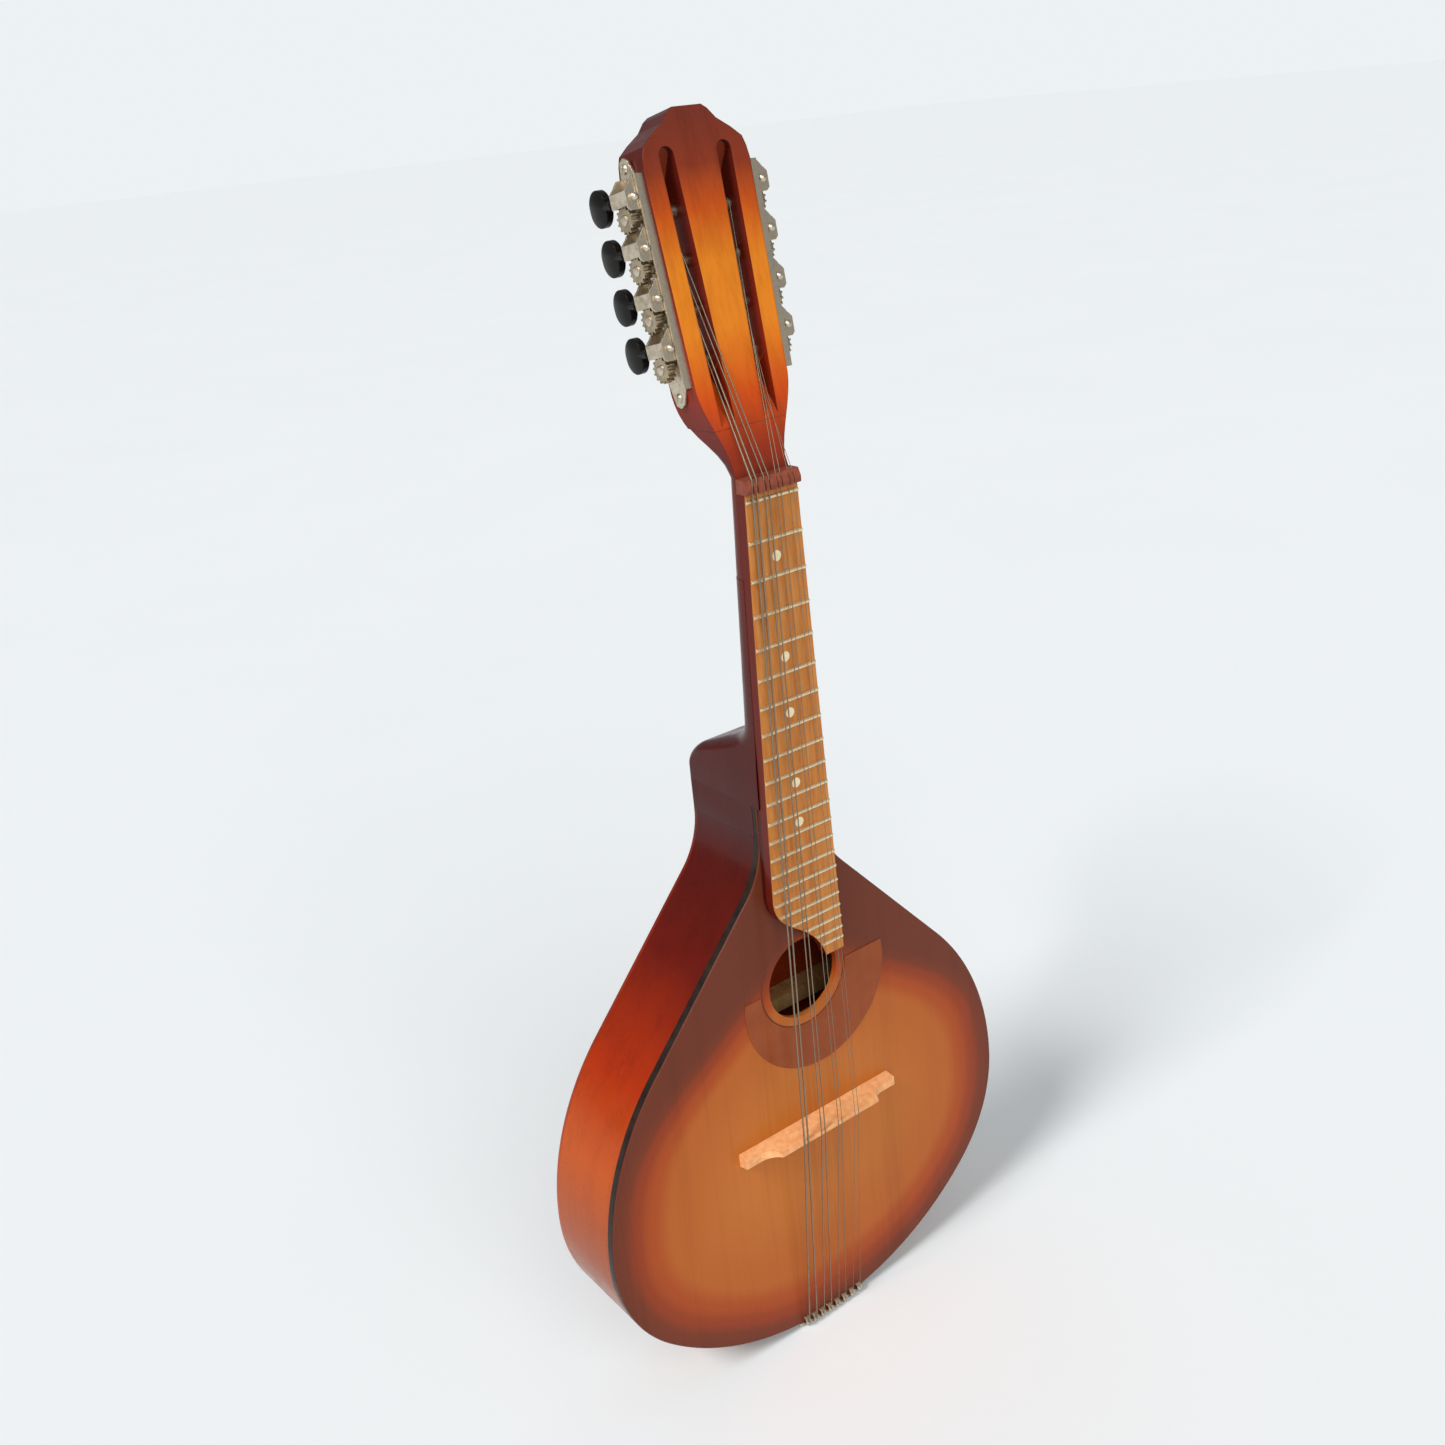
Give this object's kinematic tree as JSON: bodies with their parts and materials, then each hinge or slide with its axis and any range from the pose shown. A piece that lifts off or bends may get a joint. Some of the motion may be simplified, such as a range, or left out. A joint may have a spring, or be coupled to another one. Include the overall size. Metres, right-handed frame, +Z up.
{
  "type": "flat-back mandolin",
  "caption": "Teardrop-shaped flat-back mandolin with four double courses, a slotted head with geared tuners that turn, a movable bridge and a hook tailpiece.",
  "frame": {"origin": "on the centre line, level with the fret tops, at the zero fret", "axes": "+Z up the neck to the head, the soundboard faces -Y and the back +Y, +X to the right seen from the front"},
  "size_m": [0.262, 0.0695, 0.6304],
  "materials": {
    "body_wood": "dark red-brown sunburst lacquer",
    "top_wood": "glossy amber lacquer on spruce",
    "inner_wood": "bare",
    "binding": "dark lacquer",
    "pickguard": "thin clear amber sheet",
    "neck_wood": "dark red lacquer",
    "head_wood": "sunburst lacquer",
    "fretboard_wood": "lacquered light wood with dark red edges",
    "fret_metal": "worn nickel brass",
    "dots": "cream",
    "nut_wood": "dark reddish",
    "bridge_wood": "bare maple",
    "nickel": "worn nickel plate",
    "steel": "nickel-plated steel",
    "brass": "worn brass",
    "button_plastic": "black",
    "string_steel": "steel wire"
  },
  "bodies": {
    "body": {"back_plate": "body_wood", "rib_left": "body_wood", "rib_right": "body_wood", "soundboard": "top_wood", "neck_block": "inner_wood", "tail_block": "inner_wood", "top_linings": "inner_wood", "back_linings": "inner_wood", "top_braces": "inner_wood", "back_braces": "inner_wood", "binding": "binding", "rosette": "binding", "pickguard": "pickguard", "neck": "neck_wood", "headstock": "head_wood", "fretboard": "fretboard_wood", "frets": "fret_metal", "position_dots": "dots", "nut": "nut_wood", "bridge": "bridge_wood", "tailpiece": "nickel", "screws": "nickel", "course_g": "string_steel", "course_d": "string_steel", "course_a": "string_steel", "course_e": "string_steel", "tuner_plate_left": "nickel", "tuner_plate_right": "nickel"},
    "key_1": {"worm_1": "steel", "button_1": "button_plastic"},
    "post_1": {"roller_1": "steel", "gear_1": "brass"},
    "key_2": {"worm_2": "steel", "button_2": "button_plastic"},
    "post_2": {"roller_2": "steel", "gear_2": "brass"},
    "key_3": {"worm_3": "steel", "button_3": "button_plastic"},
    "post_3": {"roller_3": "steel", "gear_3": "brass"},
    "key_4": {"worm_4": "steel", "button_4": "button_plastic"},
    "post_4": {"roller_4": "steel", "gear_4": "brass"},
    "key_5": {"worm_5": "steel", "button_5": "button_plastic"},
    "post_5": {"roller_5": "steel", "gear_5": "brass"},
    "key_6": {"worm_6": "steel", "button_6": "button_plastic"},
    "post_6": {"roller_6": "steel", "gear_6": "brass"},
    "key_7": {"worm_7": "steel", "button_7": "button_plastic"},
    "post_7": {"roller_7": "steel", "gear_7": "brass"},
    "key_8": {"worm_8": "steel", "button_8": "button_plastic"},
    "post_8": {"roller_8": "steel", "gear_8": "brass"}
  },
  "joints": [
    {"name": "key_1_turn", "type": "hinge", "parent": "body", "child": "key_1", "pos_m": [-0.03211, 0.02817, 0.0668], "axis": [0, 0.9816, -0.1908], "continuous": true},
    {"name": "post_1_turn", "type": "hinge", "parent": "body", "child": "post_1", "pos_m": [-0.02568, 0.02668, 0.05913], "axis": [-0.9996, -0.0053, -0.0275], "continuous": true},
    {"name": "key_2_turn", "type": "hinge", "parent": "body", "child": "key_2", "pos_m": [-0.03269, 0.03214, 0.08721], "axis": [0, 0.9816, -0.1908], "continuous": true},
    {"name": "post_2_turn", "type": "hinge", "parent": "body", "child": "post_2", "pos_m": [-0.02627, 0.03065, 0.07953], "axis": [-0.9996, -0.0053, -0.0275], "continuous": true},
    {"name": "key_3_turn", "type": "hinge", "parent": "body", "child": "key_3", "pos_m": [-0.03327, 0.03611, 0.10762], "axis": [0, 0.9816, -0.1908], "continuous": true},
    {"name": "post_3_turn", "type": "hinge", "parent": "body", "child": "post_3", "pos_m": [-0.02685, 0.03461, 0.09994], "axis": [-0.9996, -0.0053, -0.0275], "continuous": true},
    {"name": "key_4_turn", "type": "hinge", "parent": "body", "child": "key_4", "pos_m": [-0.03385, 0.04007, 0.12803], "axis": [0, 0.9816, -0.1908], "continuous": true},
    {"name": "post_4_turn", "type": "hinge", "parent": "body", "child": "post_4", "pos_m": [-0.02743, 0.03858, 0.12035], "axis": [-0.9996, -0.0053, -0.0275], "continuous": true},
    {"name": "key_5_turn", "type": "hinge", "parent": "body", "child": "key_5", "pos_m": [0.03211, 0.02817, 0.0668], "axis": [0, 0.9816, -0.1908], "continuous": true},
    {"name": "post_5_turn", "type": "hinge", "parent": "body", "child": "post_5", "pos_m": [0.02568, 0.02668, 0.05913], "axis": [0.9996, -0.0053, -0.0275], "continuous": true},
    {"name": "key_6_turn", "type": "hinge", "parent": "body", "child": "key_6", "pos_m": [0.03269, 0.03214, 0.08721], "axis": [0, 0.9816, -0.1908], "continuous": true},
    {"name": "post_6_turn", "type": "hinge", "parent": "body", "child": "post_6", "pos_m": [0.02627, 0.03065, 0.07953], "axis": [0.9996, -0.0053, -0.0275], "continuous": true},
    {"name": "key_7_turn", "type": "hinge", "parent": "body", "child": "key_7", "pos_m": [0.03327, 0.03611, 0.10762], "axis": [0, 0.9816, -0.1908], "continuous": true},
    {"name": "post_7_turn", "type": "hinge", "parent": "body", "child": "post_7", "pos_m": [0.02685, 0.03461, 0.09994], "axis": [0.9996, -0.0053, -0.0275], "continuous": true},
    {"name": "key_8_turn", "type": "hinge", "parent": "body", "child": "key_8", "pos_m": [0.03385, 0.04007, 0.12803], "axis": [0, 0.9816, -0.1908], "continuous": true},
    {"name": "post_8_turn", "type": "hinge", "parent": "body", "child": "post_8", "pos_m": [0.02743, 0.03858, 0.12035], "axis": [0.9996, -0.0053, -0.0275], "continuous": true}
  ],
  "couplings": [
    {"joint": "post_1_turn", "follows": "key_1_turn", "ratio": 0.071429},
    {"joint": "post_2_turn", "follows": "key_2_turn", "ratio": 0.071429},
    {"joint": "post_3_turn", "follows": "key_3_turn", "ratio": 0.071429},
    {"joint": "post_4_turn", "follows": "key_4_turn", "ratio": 0.071429},
    {"joint": "post_5_turn", "follows": "key_5_turn", "ratio": 0.071429},
    {"joint": "post_6_turn", "follows": "key_6_turn", "ratio": 0.071429},
    {"joint": "post_7_turn", "follows": "key_7_turn", "ratio": 0.071429},
    {"joint": "post_8_turn", "follows": "key_8_turn", "ratio": 0.071429}
  ]
}
